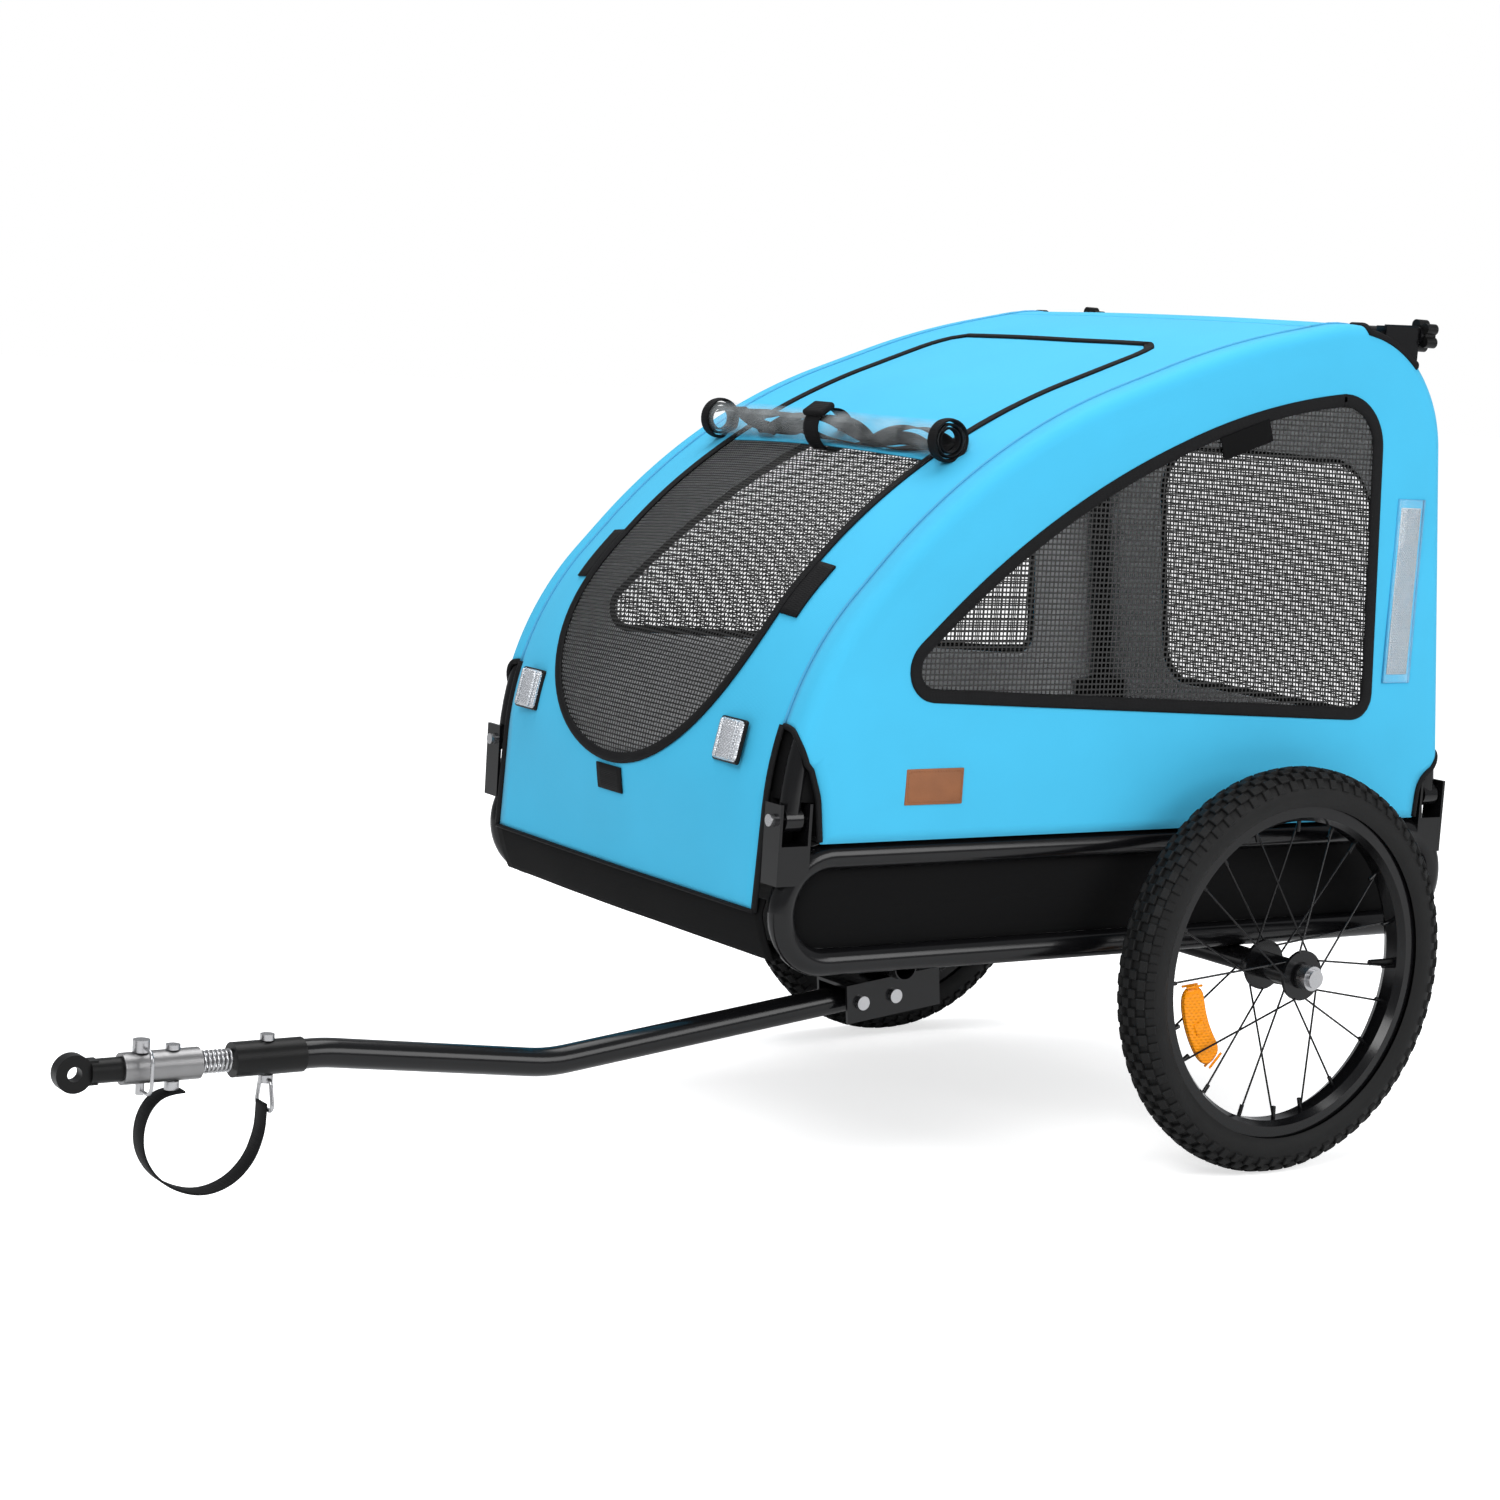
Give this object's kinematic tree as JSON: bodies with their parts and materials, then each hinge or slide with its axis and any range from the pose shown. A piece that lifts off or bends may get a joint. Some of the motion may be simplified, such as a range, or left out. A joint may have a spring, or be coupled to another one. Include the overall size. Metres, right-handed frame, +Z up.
{
  "type": "dog bike trailer",
  "caption": "Two-wheeled dog trailer with a fabric cabin on folding hoops, mesh windows, a bent drawbar on one side and a spring hitch for a bicycle axle.",
  "frame": {"origin": "on the ground, at the middle of the trailer's overall length and width", "axes": "+X rearward along the trailer, +Y to its right, +Z up; the trailer travels towards -X"},
  "size_m": [1.4716, 0.7342, 0.8359],
  "materials": {
    "blue_cloth": "matte woven polyester",
    "black_cloth": "matte woven polyester",
    "black_mesh": "open woven mesh",
    "clear_sheet": "clear soft sheet, rolled up",
    "black_webbing": "webbing and hook-and-loop",
    "black_steel": "gloss black powder coat",
    "dark_board": "matte",
    "black_plastic": "satin moulded",
    "bright_steel": "zinc plated",
    "silver_alloy": "satin",
    "tyre_rubber": "matte",
    "silver_reflector": "ribbed silver",
    "amber_reflector": "amber prism",
    "reflective_tape": "reflective",
    "tan_leather": "embossing left out"
  },
  "bodies": {
    "chassis": {"left_side_loop": "black_steel", "right_side_loop": "black_steel", "cross_tubes": "black_steel", "axle_beam": "black_steel", "floor_panel": "dark_board", "side_lower_panels": "black_cloth", "end_lower_panels": "black_cloth", "hinge_brackets": "black_steel", "hinge_bolts": "bright_steel", "canopy_front": "blue_cloth", "canopy_rear": "blue_cloth", "front_mesh": "black_mesh", "rear_mesh": "black_mesh", "rain_cover_roll": "clear_sheet", "roll_strap": "black_webbing", "front_reflectors": "silver_reflector", "door_tabs": "black_webbing", "wheel_axles": "bright_steel", "drawbar_bracket": "black_steel", "drawbar_tube": "black_steel", "drawbar_collar": "black_plastic", "collar_bolt": "bright_steel", "hanging_ring": "bright_steel", "safety_strap": "black_webbing"},
    "left_hoop": {"left_hoop": "black_steel", "left_side_panel": "blue_cloth", "left_window_mesh": "black_mesh", "left_reflective_strip": "reflective_tape", "leather_label": "tan_leather"},
    "right_hoop": {"right_hoop": "black_steel", "right_side_panel": "blue_cloth", "right_window_mesh": "black_mesh", "right_reflective_strip": "reflective_tape"},
    "spreader": {"spreader_bar": "black_steel"},
    "left_knob": {"left_knob": "black_plastic"},
    "right_knob": {"right_knob": "black_plastic"},
    "left_wheel": {"left_tyre": "tyre_rubber", "left_rim": "black_steel", "left_hub": "black_steel", "left_bearings": "bright_steel", "left_spokes": "black_steel", "left_wheel_reflector": "amber_reflector", "left_valve": "black_plastic"},
    "right_wheel": {"right_tyre": "tyre_rubber", "right_rim": "black_steel", "right_hub": "black_steel", "right_bearings": "bright_steel", "right_spokes": "black_steel", "right_wheel_reflector": "amber_reflector", "right_valve": "black_plastic"},
    "left_button": {"left_release_button": "bright_steel"},
    "right_button": {"right_release_button": "bright_steel"},
    "hitch_flex": {"hitch_spring": "bright_steel"},
    "hitch": {"hitch_sleeve": "silver_alloy", "hitch_coupling": "black_plastic", "sleeve_bolt": "bright_steel", "linch_pin": "bright_steel"},
    "bail": {"linch_bail": "bright_steel"},
    "front_pin": {"front_drawbar_pin": "bright_steel"},
    "rear_pin": {"rear_drawbar_pin": "bright_steel"}
  },
  "joints": [
    {"name": "left_hoop_fold", "type": "hinge", "parent": "chassis", "child": "left_hoop", "pos_m": [0.46775, -0.255, 0.356], "axis": [-1, 0, 0], "range_deg": [0, 78], "deforming": ["canopy_front", "canopy_rear", "front_mesh", "rear_mesh", "rain_cover_roll", "roll_strap", "front_reflectors", "door_tabs"]},
    {"name": "right_hoop_fold", "type": "hinge", "parent": "chassis", "child": "right_hoop", "pos_m": [0.46775, 0.255, 0.356], "axis": [1, 0, 0], "range_deg": [0, 90], "deforming": ["canopy_front", "canopy_rear", "front_mesh", "rear_mesh", "rain_cover_roll", "roll_strap", "front_reflectors", "door_tabs"]},
    {"name": "spreader_swing", "type": "hinge", "parent": "left_hoop", "child": "spreader", "pos_m": [0.63575, -0.255, 0.82], "axis": [1, 0, 0], "range_deg": [0, 222.6]},
    {"name": "left_knob_turn", "type": "hinge", "parent": "left_hoop", "child": "left_knob", "pos_m": [0.63575, -0.255, 0.82], "axis": [1, 0, 0], "continuous": true},
    {"name": "right_knob_turn", "type": "hinge", "parent": "spreader", "child": "right_knob", "pos_m": [0.63575, 0.255, 0.82], "axis": [1, 0, 0], "continuous": true},
    {"name": "left_wheel_spin", "type": "hinge", "parent": "chassis", "child": "left_wheel", "pos_m": [0.46775, -0.32, 0.2], "axis": [0, 1, 0], "continuous": true},
    {"name": "right_wheel_spin", "type": "hinge", "parent": "chassis", "child": "right_wheel", "pos_m": [0.46775, 0.32, 0.2], "axis": [0, 1, 0], "continuous": true},
    {"name": "left_button_press", "type": "slide", "parent": "chassis", "child": "left_button", "axis": [0, 1, 0], "range_m": [0, 0.004], "stiffness_N_per_m": 400, "springref_m": -0.004},
    {"name": "right_button_press", "type": "slide", "parent": "chassis", "child": "right_button", "axis": [0, -1, 0], "range_m": [0, 0.004], "stiffness_N_per_m": 400, "springref_m": -0.004},
    {"name": "hitch_pitch", "type": "hinge", "parent": "chassis", "child": "hitch_flex", "pos_m": [-0.59975, -0.211, 0.168], "axis": [0, 1, 0], "range_deg": [-12, 12], "stiffness_Nm_per_rad": 25, "deforming": ["hitch_spring", "safety_strap"]},
    {"name": "hitch_yaw", "type": "hinge", "parent": "hitch_flex", "child": "hitch", "pos_m": [-0.59975, -0.211, 0.168], "axis": [0, 0, 1], "range_deg": [-40, 40], "stiffness_Nm_per_rad": 12, "deforming": ["hitch_spring", "safety_strap"]},
    {"name": "bail_flip", "type": "hinge", "parent": "hitch", "child": "bail", "pos_m": [-0.66325, -0.2198, 0.1855], "axis": [-1, 0, 0], "range_deg": [0, 85]},
    {"name": "front_pin_slide", "type": "slide", "parent": "chassis", "child": "front_pin", "axis": [0, -1, 0], "range_m": [0, 0.058]},
    {"name": "rear_pin_slide", "type": "slide", "parent": "chassis", "child": "rear_pin", "axis": [0, -1, 0], "range_m": [0, 0.058]}
  ],
  "couplings": [
    {"joint": "spreader_swing", "follows": "left_hoop_fold", "ratio": 2.85}
  ]
}
